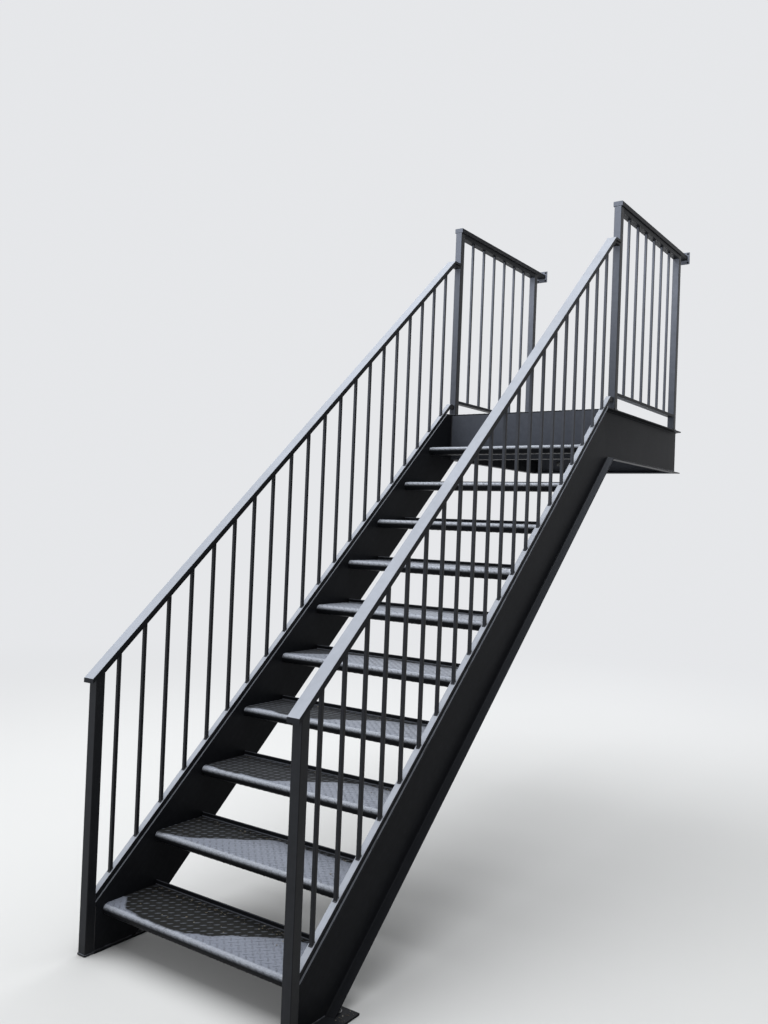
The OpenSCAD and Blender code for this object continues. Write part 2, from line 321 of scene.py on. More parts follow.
SETTINGS = {
    "stair_edges": EdgeSizes,
    "stair_lugs": LugSizes,
    "stair_welds": WeldSizes,
    "stair_bolts": BoltSizes,
    "stair_litter": LitterSizes,
    "stair_paint": PaintColours,
    "stair_stage": StageSettings,
}


class Value:
    """Wraps a socket that carries one number, so that shader maths reads as arithmetic."""

    def __init__(self, maker, socket):
        self.maker = maker
        self.socket = socket

    def math(self, operation, *others, clamp=False):
        """The result of one Math node on this value and the others."""
        return self.maker.math(operation, self, *others, clamp=clamp)

    def __add__(self, other):
        return self.math("ADD", other)

    def __radd__(self, other):
        return self.maker.math("ADD", other, self)

    def __sub__(self, other):
        return self.math("SUBTRACT", other)

    def __rsub__(self, other):
        return self.maker.math("SUBTRACT", other, self)

    def __mul__(self, other):
        return self.math("MULTIPLY", other)

    def __rmul__(self, other):
        return self.maker.math("MULTIPLY", other, self)

    def __truediv__(self, other):
        return self.math("DIVIDE", other)

    def __pow__(self, other):
        return self.math("POWER", other)

    def floor(self):
        """The whole number below."""
        return self.math("FLOOR")

    def clamped(self):
        """Kept between 0 and 1."""
        return self.math("ADD", 0.0, clamp=True)

    def equals(self, number):
        """1 where this value is that whole number, else 0."""
        return self.math("COMPARE", float(number), 0.4)

    def between(self, start, end):
        """0 at start, 1 at end and smooth in between."""
        made = self.maker.node(
            "ShaderNodeMapRange", {"interpolation_type": "SMOOTHSTEP"},
            {"Value": self, "From Min": start, "From Max": end})
        return Value(self.maker, made.outputs["Result"])


class NodeMaker:
    """Adds nodes to a node tree."""

    def __init__(self, tree):
        self.tree = tree
        self.tree.nodes.clear()

    def node(self, kind, settings=None, inputs=None):
        """Adds a node: first its settings, then its sockets' values or links."""
        made = self.tree.nodes.new(kind)
        for name, value in (settings or {}).items():
            setattr(made, name, value)
        for key, value in (inputs or {}).items():
            source = value.socket if isinstance(value, Value) else value
            if isinstance(source, bpy.types.NodeSocket):
                self.tree.links.new(source, made.inputs[key])
            else:
                made.inputs[key].default_value = source
        return made

    def math(self, operation, *operands, clamp=False):
        """The result of one Math node on these operands."""
        made = self.node(
            "ShaderNodeMath", {"operation": operation, "use_clamp": clamp}, dict(enumerate(operands)))
        return Value(self, made.outputs[0])

    def mix_shaders(self, first, second, amount):
        """The output of one node's shader mixed with another's."""
        inputs = {"Fac": amount, 1: first.outputs[0], 2: second.outputs[0]}
        return self.node("ShaderNodeMixShader", inputs=inputs).outputs[0]


class Finish(NodeMaker):
    """Builds the node tree of one material."""

    def __init__(self, name):
        self.material = bpy.data.materials.new(name)
        self.material.use_nodes = True
        super().__init__(self.material.node_tree)
        self.place = self.node("ShaderNodeTexCoord").outputs["Object"]

    def turned(self, angle, stretch):
        """Object coordinates turned about X and stretched, for marks that run along a bar."""
        level = self.node("ShaderNodeMapping", inputs={"Vector": self.place, "Rotation": (angle, 0, 0)})
        inputs = {"Vector": level.outputs["Vector"], "Scale": stretch}
        return self.node("ShaderNodeMapping", inputs=inputs).outputs["Vector"]

    def noise(self, scale, detail=3.0, roughness=0.5, place=None):
        """Smooth noise from 0 to 1."""
        inputs = {"Vector": place or self.place, "Scale": scale, "Detail": detail, "Roughness": roughness}
        return Value(self, self.node("ShaderNodeTexNoise", inputs=inputs).outputs["Fac"])

    def axis(self, letter, vector=None):
        """One coordinate of a vector, by default of the object coordinates."""
        parts = self.node("ShaderNodeSeparateXYZ", inputs={"Vector": vector or self.place})
        return Value(self, parts.outputs[letter])

    def facing(self, letter, sign):
        """1 on faces that look straight along this axis, 0 on those square to it or turned away."""
        return (self.turn_of(letter) * sign).clamped()

    def turn_of(self, letter):
        """1 on faces that look along this axis, -1 on those that look against it."""
        return self.axis(letter, self.node("ShaderNodeNewGeometry").outputs["Normal"])

    def mix(self, first, second, amount):
        """A colour between two colours."""
        made = self.node(
            "ShaderNodeMix", {"data_type": "RGBA"},
            {"Factor": amount, "A": opaque(first), "B": opaque(second)})
        return made.outputs["Result"]

    def bump(self, height, distance, normal=None):
        """A normal from a height between 0 and 1 and its depth in metres."""
        inputs = {"Height": height, "Strength": 1.0, "Distance": distance}
        if normal is not None:
            inputs["Normal"] = normal
        return self.node("ShaderNodeBump", inputs=inputs).outputs["Normal"]

    def surface(self, colour, roughness, normal, **others):
        """The shader. The others are named as their sockets, with _ for a space."""
        inputs = {"Base Color": colour, "Roughness": roughness, "Normal": normal, "IOR": PAINT_IOR}
        inputs.update({name.replace("_", " "): value for name, value in others.items()})
        shader = self.node("ShaderNodeBsdfPrincipled", inputs=inputs)
        self.node("ShaderNodeOutputMaterial", inputs={"Surface": shader.outputs["BSDF"]})
        return self.material


def opaque(colour):
    """A colour with full alpha, or the socket as it is."""
    if isinstance(colour, bpy.types.NodeSocket):
        return colour
    return (*colour, 1.0)


def frame_paint(name, angle, gloss, on_channel=False):
    """Brushed satin black, with marks along a bar that leans by this angle, pale tops that are part painted
    sheen, and painted front light. Channels hold less of the pale layer.
    """
    finish = Finish(name)
    paint = bpy.context.scene.stair_paint
    along_bar = finish.turned(-angle, (1.0, 0.06, 1.0))
    brush = finish.noise(170, 3, 0.6, along_bar)
    cloud = finish.noise(2.6, 4, 0.55)
    fine = finish.noise(38, 4, 0.6)
    peel = finish.noise(420, 2, 0.5)
    height = finish.axis("Z")
    past_kink = finish.axis("Y") - KINK.y
    top_line = DECK_TOP + past_kink.math("MINIMUM", 0.0) * math.tan(SLOPE)
    climb = ((height - GROUND) / CLIMB_HEIGHT).clamped()
    # Faces that look up turn pale: part dusty coat, part painted sheen
    film_and_sheen = finish.facing("Z", 1).between(0.50, 0.70) * (0.70 + 0.35 * cloud + 0.20 * fine)
    # Painted shade: the pale tops darken higher up, where the overhead lamp is nearer
    film_and_sheen = film_and_sheen * (1.0 - 0.24 * climb)
    if on_channel:
        on_top = (height - top_line).between(-0.030, -0.012)
        film_and_sheen = film_and_sheen * (on_top * (0.32 + 0.40 * climb) + (1.0 - on_top) * (0.02 + 0.55 * climb * climb))
    # Painted front light: faces that look to the front turn a paler grey, steeply more so higher up
    front_light_rise = 0.06 + 1.15 * climb ** 3.0
    painted_front_light = finish.facing("Y", -1).between(0.80, 0.95) * front_light_rise
    near_ground = height.between(GROUND + 0.10, GROUND - 0.01)
    splash = near_ground * fine.between(0.40, 0.72)
    chips = near_ground * finish.noise(120, 5, 0.7).between(0.66, 0.74)
    thicker = [THICKER * channel for channel in paint.black]
    colour = finish.mix(paint.black, thicker, (brush * fine).between(0.18, 0.42))
    colour = finish.mix(colour, paint.dust_and_front_light, painted_front_light * (0.8 + 0.4 * fine))
    colour = finish.mix(colour, paint.film_and_sheen, film_and_sheen.clamped())
    colour = finish.mix(colour, paint.near_black, splash * 0.55)
    colour = finish.mix(colour, paint.rust, chips * 0.8)
    roughness = 0.30 + 0.12 * cloud + 0.20 * splash + 0.25 * film_and_sheen
    normal = finish.bump(brush, 0.00006)
    normal = finish.bump(peel, 0.00004, normal)
    normal = finish.bump(cloud, 0.0008, normal)
    return finish.surface(colour, roughness.clamped(), normal, Specular_IOR_Level=gloss)


def dark_back_edge(index):
    """Where the near-black back's edge lies across each tread: the upper treads stay pale all over."""
    place = index.math("GREATER_THAN", len(DARK_BACK_EDGES) - 0.5) * -1.0
    for number, edge in enumerate(DARK_BACK_EDGES):
        place = place + index.equals(number) * edge
    return place


def tread_paint(name, on_lug=False):
    """Satin black of the treads under a pale layer with painted sheen and a painted highlight on the noses,
    near-black at the back of the lowest ones.
    """
    finish = Finish(name)
    paint = bpy.context.scene.stair_paint
    index = ((finish.axis("Z") - (FIRST_TOP - 3 * NOSE_RADIUS)) / RISE).floor()
    from_nose = finish.axis("Y") - FIRST_NOSE - index * RUN
    cloud = finish.noise(7, 4, 0.55)
    fine = finish.noise(55, 4, 0.65)
    grit = finish.noise(330, 3, 0.6)
    speck = grit.between(0.34, 0.66)
    upward = finish.facing("Z", 1)
    across = finish.axis("X") - dark_back_edge(index)
    corner = finish.axis("X").between(-0.34, -WEB) * index.equals(0)
    # Behind an edge across each of the lowest treads, the back turns near-black
    light_depth = 0.012 + 0.20 * across.between(-0.20, 0.16) + 0.07 * corner + 0.07 * (cloud - 0.5)
    near_black = (from_nose - light_depth).between(-0.002, 0.009) * (0.93 + 0.18 * fine) * (1.0 - 0.03 * index)
    near_black = near_black * index.math("LESS_THAN", len(TREADS) - 0.5)
    # Painted highlight along the top of each rolled nose
    nose_highlight = from_nose.between(0.015, 0.008)
    film_and_sheen = finish.turn_of("Z").between(0.0, 0.78) * (0.46 + 0.30 * cloud + 0.70 * speck)
    if on_lug:
        # Painted glints: the lugs of one leaning set turn paler, most on their flanks that look back
        glinting = Value(finish, finish.node(
            "ShaderNodeAttribute", {"attribute_type": "GEOMETRY", "attribute_name": GLINT_SET}).outputs["Fac"])
        flank = from_nose.between(0.010, 0.024) * upward.between(0.995, 0.93)
        film_and_sheen = film_and_sheen * (1.0 - 0.55 * flank) * (0.72 + 0.40 * glinting)
        near_black = near_black * (0.98 - 0.46 * glinting * finish.turn_of("Y").between(-0.12, 0.06))
    pale = finish.mix(paint.dust_and_front_light, paint.film_and_sheen, (index * 0.095 + 0.85 * nose_highlight).clamped())
    colour = finish.mix(paint.black, pale, film_and_sheen.clamped())
    colour = finish.mix(colour, paint.near_black, (near_black * upward).clamped())
    roughness = 0.34 + 0.12 * cloud + 0.25 * near_black
    normal = finish.bump(grit, 0.00012)
    normal = finish.bump(finish.noise(9, 2, 0.4), 0.0012, normal)
    return finish.surface(colour, roughness.clamped(), normal, Specular_IOR_Level=TREAD_GLOSS)


def weld_paint(name):
    """Thick paint over the weld beads."""
    finish = Finish(name)
    paint = bpy.context.scene.stair_paint
    lumps = finish.noise(260, 3, 0.6)
    film_and_sheen = finish.facing("Z", 1).between(0.45, 0.9) * finish.noise(30).between(0.3, 0.7)
    colour = finish.mix(paint.black, paint.dust_and_front_light, film_and_sheen * 0.45)
    return finish.surface(
        colour, 0.34 + 0.15 * lumps, finish.bump(lumps, 0.0003), Specular_IOR_Level=BEAD_GLOSS)


def zinc(name):
    """Dull zinc with a bloom of white and spots of rust."""
    finish = Finish(name)
    paint = bpy.context.scene.stair_paint
    bloom = finish.noise(150, 4, 0.65)
    spots = finish.noise(420, 3, 0.6).between(0.62, 0.72)
    colour = finish.mix(paint.zinc, (0.30, 0.305, 0.31), bloom.between(0.45, 0.75) * 0.6)
    colour = finish.mix(colour, paint.rust, spots * 0.7)
    return finish.surface(
        colour, 0.38 + 0.25 * bloom, finish.bump(bloom, 0.0002), Metallic=0.85 - 0.6 * spots)


def leaf_litter(name):
    """Dry leaf and blossom crumbs, each of another shade."""
    finish = Finish(name)
    paint = bpy.context.scene.stair_paint
    cells = finish.node("ShaderNodeTexVoronoi", inputs={"Vector": finish.place, "Scale": 150.0})
    shade = finish.axis("X", cells.outputs["Color"])
    other = finish.axis("Y", cells.outputs["Color"])
    vein = finish.noise(900, 3, 0.6)
    colour = finish.mix(paint.leaf, (0.045, 0.034, 0.022), shade.between(0.30, 0.70))
    colour = finish.mix(colour, (0.27, 0.25, 0.20), other.between(0.80, 0.92))
    colour = finish.mix(colour, (0.10, 0.075, 0.045), vein.between(0.50, 0.80) * 0.5)
    return finish.surface(colour, 0.62 + 0.25 * vein, finish.bump(vein, 0.0003), IOR=LEAF_IOR)


LEVEL = "Brushed black paint on level bars"
SLOPED = "Brushed black paint on sloping bars"
UPRIGHT = "Brushed black paint on upright bars"
LEVEL_CHANNEL = "Dull black paint on level channels"
SLOPED_CHANNEL = "Dull black paint on sloping channels"
PLATE = "Trodden black paint on checker plate"
# The lugs' paint has painted glints on one leaning set
LUG = "Black paint on the lugs with painted glints"
BEAD = "Thick black paint on weld beads"
ZINC = "Dull zinc on anchors and bolts"
LEAF = "Dry leaf litter"
MAKERS = {
    LEVEL: lambda name: frame_paint(name, 0.0, gloss=0.04),
    SLOPED: lambda name: frame_paint(name, SLOPE, gloss=0.06),
    UPRIGHT: lambda name: frame_paint(name, math.pi / 2, gloss=0.12),
    LEVEL_CHANNEL: lambda name: frame_paint(name, 0.0, gloss=0.03, on_channel=True),
    SLOPED_CHANNEL: lambda name: frame_paint(name, SLOPE, gloss=0.03, on_channel=True),
    PLATE: tread_paint,
    LUG: lambda name: tread_paint(name, on_lug=True),
    BEAD: weld_paint,
    ZINC: zinc,
    LEAF: leaf_litter,
}


def finish_named(name):
    """A finish, made when a piece first asks for it."""
    return bpy.data.materials.get(name) or MAKERS[name](name)


def placed(name, bm):
    """Turns a bmesh into an object of the scene."""
    mesh = bpy.data.meshes.new(name)
    bm.to_mesh(mesh)
    bm.free()
    made = bpy.data.objects.new(name, mesh)
    bpy.context.scene.collection.objects.link(made)
    return made


def piece(name, bm, finish, stands_for=()):
    """Turns a bmesh into a finished piece that rides with the frame."""
    made = placed(name, bm)
    made.data.shade_smooth()
    made.data.set_sharp_from_angle(angle=SMOOTH_ANGLE)
    made.data.materials.append(finish_named(finish))
    if stands_for:
        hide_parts(*stands_for)
    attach(made, "root")
    return made


def merged_copy(node):
    """A copy of a node's mesh with its triangles joined and its flat faces whole."""
    bm = bmesh.new()
    bm.from_mesh(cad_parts[node].data)
    bmesh.ops.remove_doubles(bm, verts=bm.verts, dist=MERGE)
    bmesh.ops.dissolve_limit(bm, angle_limit=JOIN_ANGLE, verts=bm.verts, edges=bm.edges)
    return bm


def round_edges(bm, edges, width, segments):
    """Rounds these edges of a mesh."""
    bmesh.ops.bevel(
        bm, geom=edges, offset=width, affect="EDGES", segments=segments, profile=0.5, material=-1,
        clamp_overlap=True)


def dressed(nodes, width, finish, suffix="steel", segments=2, keep=None, narrow=1.0):
    """An eased piece for each node, narrowed to a share of its width, but sharp where keep is true."""
    for node in nodes:
        bm = merged_copy(node)
        middle = (low(node).x + high(node).x) / 2
        for vert in bm.verts:
            vert.co.x = middle + narrow * (vert.co.x - middle)
        sharp = [
            edge for edge in bm.edges
            if len(edge.link_faces) == 2 and edge.calc_face_angle() > EASE_ANGLE
            and not (keep and keep(edge))]
        round_edges(bm, sharp, width, segments)
        weigh_normals(piece(f"{node}_{suffix}", bm, finish, [node]))


def weigh_normals(made):
    """Keeps wide faces flat to the eye beside their eased edges."""
    weighted = made.modifiers.new("Flat faces", "WEIGHTED_NORMAL")
    weighted.weight = FLAT_WEIGHT
    weighted.keep_sharp = True


def on_mitre(edge):
    """True on the joint between a stringer and its landing channel, which is ground flush."""
    return all(abs((vert.co - KINK).dot(MITRE_NORMAL)) < IN_PLANE for vert in edge.verts)


class STAIR_OT_channels(bpy.types.Operator):
    """Eases and paints the stringers, landing channels, header and ledger"""

    bl_idname = "stair.channels"
    bl_label = "Channels"

    def execute(self, context):
        width = context.scene.stair_edges.channel
        dressed(both("stringer"), width, SLOPED_CHANNEL, keep=on_mitre)
        dressed(both("landing_channel"), width, LEVEL_CHANNEL, keep=on_mitre)
        dressed(["landing_header", "wall_ledger"], width, LEVEL_CHANNEL)
        return {"FINISHED"}


class STAIR_OT_posts(bpy.types.Operator):
    """Rounds and paints the newels and landing posts"""

    bl_idname = "stair.posts"
    bl_label = "Posts"

    def execute(self, context):
        width = context.scene.stair_edges.tube
        dressed(both("newel", "post_front", "post_rear"), width, UPRIGHT, segments=3)
        return {"FINISHED"}


class STAIR_OT_rails(bpy.types.Operator):
    """Eases and paints the handrails, bottom rails and the landing's rails"""

    bl_idname = "stair.rails"
    bl_label = "Rails"

    def execute(self, context):
        width = context.scene.stair_edges.rail
        dressed(both("handrail"), width, SLOPED)
        dressed(both("bottom_rail"), width, SLOPED, narrow=BOTTOM_RAIL_SHARE)
        dressed(both("guard_cap", "guard_subrail", "guard_bottom_rail"), width, LEVEL)
        return {"FINISHED"}


class STAIR_OT_balusters(bpy.types.Operator):
    """Eases and paints the square balusters"""

    bl_idname = "stair.balusters"
    bl_label = "Balusters"

    def execute(self, context):
        dressed(both("balusters", "guard_balusters"), context.scene.stair_edges.baluster, UPRIGHT)
        return {"FINISHED"}


class STAIR_OT_brackets(bpy.types.Operator):
    """Eases and paints the angles, the joist and the plates at foot and wall"""

    bl_idname = "stair.brackets"
    bl_label = "Angles and plates"

    def execute(self, context):
        width = context.scene.stair_edges.plate
        dressed(both("tread_angles", "base_plate") + ["deck_bearers", "deck_joist"], width, LEVEL_CHANNEL)
        dressed(["wall_rail_plates"], width, UPRIGHT)
        return {"FINISHED"}


def join(bm, added, matrix):
    """Moves one mesh into place and adds it to another."""
    added.transform(matrix)
    mesh = bpy.data.meshes.new("added")
    added.to_mesh(mesh)
    added.free()
    bm.from_mesh(mesh)
    bpy.data.meshes.remove(mesh)


def lug_outline(sizes, upward):
    """A flat pointed lens along X that looks up or down."""
    bm = bmesh.new()
    bmesh.ops.create_circle(bm, cap_ends=True, segments=LUG_SIDES, radius=1.0)
    for vert in bm.verts:
        vert.co.y *= LUG_TIP + (1 - LUG_TIP) * (1 - abs(vert.co.x))
    bmesh.ops.scale(bm, vec=(sizes.length / 2, sizes.width / 2 / LUG_TRIM, 1), verts=bm.verts)
    bm.normal_update()
    for face in bm.faces:
        if (face.normal.z > 0) != upward:
            face.normal_flip()
    return bm


def lug_template(sizes):
    """One lug along X: a pointed lens that rises to a narrow crown, closed underneath."""
    bm = lug_outline(sizes, True)
    crown = bm.faces[:]
    for width, rise in CROWN_STEPS:
        bmesh.ops.inset_region(
            bm, faces=crown, thickness=width * sizes.width, depth=rise * sizes.height, use_even_offset=True)
    join(bm, lug_outline(sizes, False), Matrix.Identity(4))
    bmesh.ops.remove_doubles(bm, verts=bm.verts, dist=MERGE)
    return bm


def cut(bm, point, normal, clear=False):
    """Cuts a mesh along a plane and clears what lies past it where asked."""
    bmesh.ops.bisect_plane(
        bm, geom=bm.verts[:] + bm.edges[:] + bm.faces[:], dist=MERGE,
        plane_co=point, plane_no=normal, clear_outer=clear)


def lug_sheet(sizes, width, length, start):
    """A level sheet of lugs over width by length, in four-way order, cut square at its sides."""
    template = bpy.data.meshes.new("lug")
    one = lug_template(sizes)
    one.to_mesh(template)
    one.free()
    sheet = bmesh.new()
    sheet.faces.layers.float.new(GLINT_SET)
    half = sizes.pitch / 2
    columns = math.ceil(width / half) + 2
    rows = math.ceil(length / half) + 2
    for column in range(-columns // 2, columns // 2 + 1):
        for row in range(-1, rows):
            if (column + row) % 2:
                continue
            lean = math.radians(LUG_LEAN if column % 2 else -LUG_LEAN)
            place = Vector((column * half + start[0], row * half + start[1], 0))
            added = bmesh.new()
            added.from_mesh(template)
            # The lugs of one leaning set are marked for painted glints
            glinting = added.faces.layers.float.new(GLINT_SET)
            for face in added.faces:
                face[glinting] = float(lean > 0)
            join(sheet, added, Matrix.Translation(place) @ Matrix.Rotation(lean, 4, "Z"))
    bpy.data.meshes.remove(template)
    for side in (1, -1):
        cut(sheet, (side * width / 2, 0, 0), (side, 0, 0), clear=True)
    cut(sheet, (0, 0, 0), (0, -1, 0), clear=True)
    cut(sheet, (0, length, 0), (0, 1, 0), clear=True)
    bmesh.ops.holes_fill(sheet, edges=[edge for edge in sheet.edges if edge.is_boundary], sides=0)
    bmesh.ops.recalc_face_normals(sheet, faces=sheet.faces)
    return sheet


def roll_over_nose(sheet, nose_y, top_z, radius):
    """Lays a level sheet, whose Y runs back from under the nose, round the nose and over the tread."""
    arc = math.pi * radius
    for number in range(1, NOSE_CUTS):
        cut(sheet, (0, arc * number / NOSE_CUTS, 0), (0, 1, 0))
    for vert in sheet.verts:
        run = vert.co.y
        height = vert.co.z * min(1.0, max(NOSE_WEAR, run / arc))
        if run >= arc:
            vert.co.y = nose_y + radius + (run - arc)
            vert.co.z = top_z + height
            continue
        angle = math.pi * run / arc
        vert.co.y = nose_y + radius - (radius + height) * math.sin(angle)
        vert.co.z = top_z - radius - (radius + height) * math.cos(angle)


class STAIR_OT_treads(bpy.types.Operator):
    """Makes the tread pans and the lugs that run over their rolled noses"""

    bl_idname = "stair.treads"
    bl_label = "Treads"

    def execute(self, context):
        sizes = context.scene.stair_lugs
        draw = random.Random(11)
        arc = math.pi * NOSE_RADIUS
        for node in TREADS:
            dressed([node], context.scene.stair_edges.plate, PLATE, "pan")
            corner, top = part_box(node)
            flat = top.y - corner.y - NOSE_RADIUS - LIP_CORNER
            start = (draw.uniform(-0.5, 0.5) * sizes.pitch, draw.uniform(-0.5, 0.5) * sizes.pitch)
            sheet = lug_sheet(sizes, 2 * (WEB - SHEET_MARGIN), arc + flat, start)
            roll_over_nose(sheet, corner.y, top.z - LIP_HEIGHT - LUG_SINK, NOSE_RADIUS)
            piece(f"{node}_lugs", sheet, LUG)
        return {"FINISHED"}


class STAIR_OT_deck(bpy.types.Operator):
    """Makes the landing's checker plate and its lugs"""

    bl_idname = "stair.deck"
    bl_label = "Landing plate"

    def execute(self, context):
        dressed(["landing_deck"], context.scene.stair_edges.plate, PLATE, "plate")
        corner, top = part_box("landing_deck")
        depth = top.y - corner.y - 2 * SHEET_MARGIN
        sheet = lug_sheet(context.scene.stair_lugs, 2 * (WEB - SHEET_MARGIN), depth, DECK_START)
        bmesh.ops.translate(sheet, vec=(0, corner.y + SHEET_MARGIN, top.z - LUG_SINK), verts=sheet.verts)
        piece("landing_deck_lugs", sheet, LUG)
        return {"FINISHED"}


def cylinder(sides, radius, length):
    """A closed cylinder about Z."""
    bm = bmesh.new()
    bmesh.ops.create_cone(
        bm, cap_ends=True, segments=sides, radius1=radius, radius2=radius, depth=length)
    return bm


def rise_of(edge):
    """How far an edge climbs."""
    return abs(edge.verts[0].co.z - edge.verts[1].co.z)


def swell_rings(bm, length, scales):
    """Cuts a cylinder into rings, from its lower end up, each scaled in width."""
    lengthwise = [edge for edge in bm.edges if rise_of(edge) > length / 2]
    bmesh.ops.subdivide_edges(bm, edges=lengthwise, cuts=len(scales) - 2)
    for vert in bm.verts:
        ring = round((vert.co.z / length + 0.5) * (len(scales) - 1))
        vert.co.x *= scales[ring]
        vert.co.y *= scales[ring]


def lay_bead(bm, start, end, radius, ripple, draw):
    """Adds one weld bead from start to end, swelling and shrinking like frozen pools."""
    run = end - start
    bead = cylinder(BEAD_SIDES, radius, run.length)
    pools = max(1, round(run.length / BEAD_STEP))
    swell_rings(bead, run.length, [1 + draw.uniform(-ripple, ripple) for _ in range(pools + 2)])
    turn = run.to_track_quat("Z", "Y").to_matrix().to_4x4()
    join(bm, bead, Matrix.Translation((start + end) / 2) @ turn)


def bead_round(bm, x, y, half, height, radius, ripple, draw):
    """Beads along the four sides of a square bar's end, at the height that a function gives for Y."""
    corners = [
        Vector((x + half * dx, y + half * dy, height(y + half * dy)))
        for dx, dy in ((-1, -1), (1, -1), (1, 1), (-1, 1))]
    for first, second in zip(corners, corners[1:] + corners[:1]):
        lay_bead(bm, first, second, radius, ripple, draw)


def bar_places(node):
    """The middle of each separate upright bar in a node, from front to back."""
    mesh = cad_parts[node].data
    count = BAR_COUNTS[node.rsplit("_", 1)[0]]
    ys = sorted(v.co.y for v in mesh.vertices)
    share = len(ys) // count
    return [(ys[i * share] + ys[(i + 1) * share - 1]) / 2 for i in range(count)]


def heights_at(node, y, reach):
    """Lowest and highest point of a node's vertices within reach of y."""
    zs = [v.co.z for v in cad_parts[node].data.vertices if abs(v.co.y - y) < reach]
    return min(zs), max(zs)


def level_at(height):
    """A height that is the same everywhere."""
    return lambda y: height


def sloping_from(y, height):
    """A height that follows the flight from this place."""
    return lambda at: height + (at - y) * math.tan(SLOPE)


def post_welds(side, sizes, draw):
    """Beads round the landing posts' feet, the newel's foot and head, and where channels meet."""
    bm = bmesh.new()
    sign = sign_of(side)
    radius, ripple = sizes.post_bead, sizes.ripple

    def round_foot(y, height, bead):
        bead_round(bm, sign * RAIL_LINE, y, POST / 2, height, bead, ripple, draw)

    def seam(x, y0, z0, y1, z1, bead):
        lay_bead(bm, Vector((sign * x, y0, z0)), Vector((sign * x, y1, z1)), bead, ripple, draw)

    for name in ("post_front", "post_rear"):
        corner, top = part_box(f"{name}_{side}")
        round_foot((corner.y + top.y) / 2, level_at(DECK_TOP), radius)
    newel_low, newel_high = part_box(f"newel_{side}")
    middle = (newel_low.y + newel_high.y) / 2
    head = newel_high.z - math.tan(SLOPE) * POST / 2
    round_foot(middle, level_at(GROUND + FOOT_LIFT * radius), radius)
    round_foot(middle, sloping_from(middle, head), HEAD_BEAD * radius)
    back = newel_high.y
    foot = low(f"stringer_{side}").y
    start = GROUND + high(f"base_plate_{side}").z - low(f"base_plate_{side}").z
    seam_top = DECK_TOP - (KINK.y - back) * math.tan(SLOPE) - SEAM_END
    bead = SEAM_BEAD * radius
    above = start + SEAM_LIFT * radius
    for x in (WEB, WEB + WEB_THICKNESS + 0.4 * radius):
        seam(x, back, start, back, seam_top, bead)
        seam(x, back, above, foot + FOOT_LENGTH, above, bead)
    header_low, header_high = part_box("landing_header")
    seam(WEB, header_low.y, header_low.z + HEADER_END, header_low.y, header_high.z - HEADER_END, radius)
    stitch = foot + STITCH_START
    while stitch < KINK.y - STITCH_STOP:
        level = DECK_TOP - (KINK.y - stitch) * math.tan(SLOPE)
        along = STITCH_LENGTH * Vector((0, math.cos(SLOPE), math.sin(SLOPE)))
        place = Vector((sign * (RAIL_LINE + POST / 2 - 0.001), stitch, level))
        lay_bead(bm, place, place + along, STITCH_BEAD * radius, ripple, draw)
        stitch += STITCH_PITCH
    return bm


def baluster_welds(side, sizes, draw):
    """Beads round both ends of each baluster."""
    bm = bmesh.new()
    node, guard = f"balusters_{side}", f"guard_balusters_{side}"
    x = sign_of(side) * RAIL_LINE
    half = (high(node).x - low(node).x) / 2
    lean = math.tan(SLOPE) * half

    def round_end(y, height):
        bead_round(bm, x, y, half, height, sizes.baluster_bead, sizes.ripple, draw)

    for y in bar_places(node):
        bottom, top = heights_at(node, y, 2 * half)
        for level in (bottom + lean, top - lean):
            round_end(y, sloping_from(y, level))
    for y in bar_places(guard):
        for level in (low(guard).z, high(guard).z):
            round_end(y, level_at(level))
    return bm


class STAIR_OT_welds(bpy.types.Operator):
    """Lays the weld beads round posts, newels and balusters and where channels meet"""

    bl_idname = "stair.welds"
    bl_label = "Welds"

    def execute(self, context):
        sizes = context.scene.stair_welds
        draw = random.Random(23)
        for side in SIDES:
            piece(f"post_welds_{side}", post_welds(side, sizes, draw), BEAD)
            piece(f"baluster_welds_{side}", baluster_welds(side, sizes, draw), BEAD)
        return {"FINISHED"}


def add_slab(bm, place, turn, diameter, form):
    """Adds a round or six-sided slab with eased rims on a rod, along Z before the turn."""
    share, depth, sides, ease = form
    slab = cylinder(sides, share * diameter, depth)
    round_edges(slab, [edge for edge in slab.edges if rise_of(edge) < depth / 10], ease, 2)
    bmesh.ops.translate(slab, vec=(0, 0, depth / 2), verts=slab.verts)
    join(bm, slab, Matrix.Translation(place) @ turn)


def add_thread(bm, place, turn, radius, length):
    """Adds a threaded rod: a round bar with ridges every pitch."""
    rod = cylinder(THREAD_SIDES, radius, length)
    ridges = max(3, round(length / THREAD_PITCH)) * 2
    swell_rings(rod, length, [1.0 if ring % 2 else THREAD_ROOT for ring in range(ridges + 1)])
    bmesh.ops.translate(rod, vec=(0, 0, length / 2), verts=rod.verts)
    join(bm, rod, Matrix.Translation(place) @ turn)


